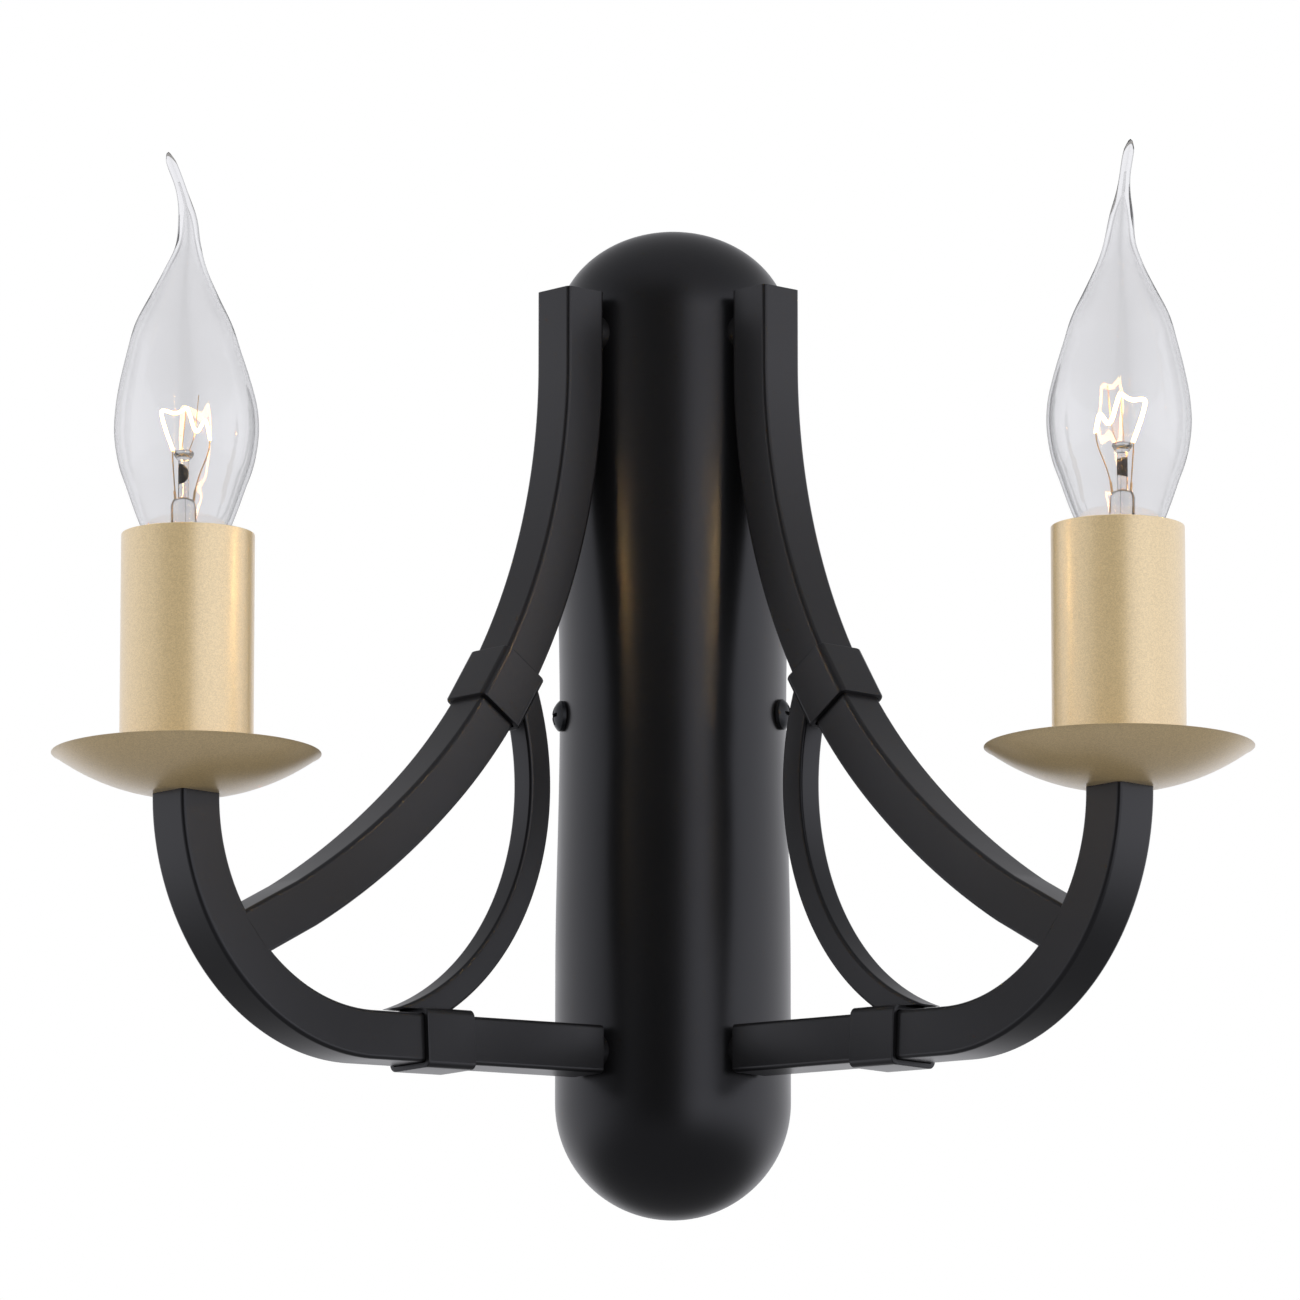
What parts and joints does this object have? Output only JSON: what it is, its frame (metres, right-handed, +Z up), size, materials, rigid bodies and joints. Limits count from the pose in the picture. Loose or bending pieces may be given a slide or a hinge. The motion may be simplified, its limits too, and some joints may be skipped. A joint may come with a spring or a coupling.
{
  "type": "two-light candle wall lamp",
  "caption": "Wall lamp with a tall half-round black back plate, curved square-tube arms with braces, gold candle sleeves in drip dishes and clear bent-tip bulbs.",
  "frame": {"origin": "on the wall plane, on the lamp's middle plane, level with the two side screws of the canopy", "axes": "+Y into the wall, so the lamp stands out towards -Y; +X to the right seen from the room; +Z up"},
  "size_m": [0.2884, 0.1479, 0.2507],
  "materials": {
    "powder_black": "satin powder coat",
    "screw_black": "satin black",
    "zinc_steel": "zinc plated",
    "brass_parts": "bright",
    "earth_wire": "insulated wire",
    "white_plastic": "matte moulding",
    "gold_paint": "satin champagne metallic paint",
    "wire_skin": "insulated wire",
    "clear_glass": "clear",
    "bulb_metal": "nickel plated",
    "black_glass": "glossy",
    "lead_wire": "drawn wire",
    "filament": "wound wire"
  },
  "bodies": {
    "root": {"canopy": "powder_black", "wall_bracket": "zinc_steel", "canopy_screws": "screw_black", "earth_screw": "brass_parts", "earth_lead": "earth_wire", "terminal_block": "white_plastic", "terminal_screws": "zinc_steel", "upper_spacers": "powder_black", "upper_arm_screws": "zinc_steel", "upper_arm_nuts": "zinc_steel", "lower_spacers": "powder_black", "lower_stems": "zinc_steel", "lower_stem_nuts": "zinc_steel", "left_lower_arm": "powder_black", "left_upper_arm": "powder_black", "left_upper_collar": "powder_black", "left_lower_collar": "powder_black", "left_brace": "powder_black", "left_end_plate": "powder_black", "left_top_plug": "powder_black", "left_seat_plug": "zinc_steel", "left_drip_dish": "gold_paint", "left_dish_nut": "zinc_steel", "left_nipple": "zinc_steel", "left_lampholder": "white_plastic", "left_holder_shell": "brass_parts", "left_holder_contact": "brass_parts", "left_arm_wires": "wire_skin", "right_lower_arm": "powder_black", "right_upper_arm": "powder_black", "right_upper_collar": "powder_black", "right_lower_collar": "powder_black", "right_brace": "powder_black", "right_end_plate": "powder_black", "right_top_plug": "powder_black", "right_seat_plug": "zinc_steel", "right_drip_dish": "gold_paint", "right_dish_nut": "zinc_steel", "right_nipple": "zinc_steel", "right_lampholder": "white_plastic", "right_holder_shell": "brass_parts", "right_holder_contact": "brass_parts", "right_arm_wires": "wire_skin"},
    "left_bulb_seat": {"left_bulb_contact": "bulb_metal"},
    "left_bulb": {"left_bulb_glass": "clear_glass", "left_bulb_cap": "bulb_metal", "left_bulb_insulator": "black_glass", "left_bulb_stem": "clear_glass", "left_bulb_leads": "lead_wire", "left_bulb_filament": "filament"},
    "left_sleeve": {"left_candle_sleeve": "gold_paint"},
    "right_bulb_seat": {"right_bulb_contact": "bulb_metal"},
    "right_bulb": {"right_bulb_glass": "clear_glass", "right_bulb_cap": "bulb_metal", "right_bulb_insulator": "black_glass", "right_bulb_stem": "clear_glass", "right_bulb_leads": "lead_wire", "right_bulb_filament": "filament"},
    "right_sleeve": {"right_candle_sleeve": "gold_paint"}
  },
  "joints": [
    {"name": "left_bulb_lift", "type": "slide", "parent": "root", "child": "left_bulb_seat", "axis": [0, 0, 1], "range_m": [0, 0.0085]},
    {"name": "left_bulb_turn", "type": "hinge", "parent": "left_bulb_seat", "child": "left_bulb", "pos_m": [-0.11172, -0.11542, 0], "axis": [0, 0, 1], "range_deg": [0, 1080]},
    {"name": "left_sleeve_lift", "type": "slide", "parent": "root", "child": "left_sleeve", "axis": [0, 0, 1], "range_m": [0, 0.01]},
    {"name": "right_bulb_lift", "type": "slide", "parent": "root", "child": "right_bulb_seat", "axis": [0, 0, 1], "range_m": [0, 0.0085]},
    {"name": "right_bulb_turn", "type": "hinge", "parent": "right_bulb_seat", "child": "right_bulb", "pos_m": [0.11172, -0.11542, 0], "axis": [0, 0, 1], "range_deg": [0, 1080]},
    {"name": "right_sleeve_lift", "type": "slide", "parent": "root", "child": "right_sleeve", "axis": [0, 0, 1], "range_m": [0, 0.01]}
  ],
  "couplings": [
    {"joint": "left_bulb_lift", "follows": "left_bulb_turn", "m_per_rad": 0.00044914},
    {"joint": "right_bulb_lift", "follows": "right_bulb_turn", "m_per_rad": 0.00044914}
  ]
}
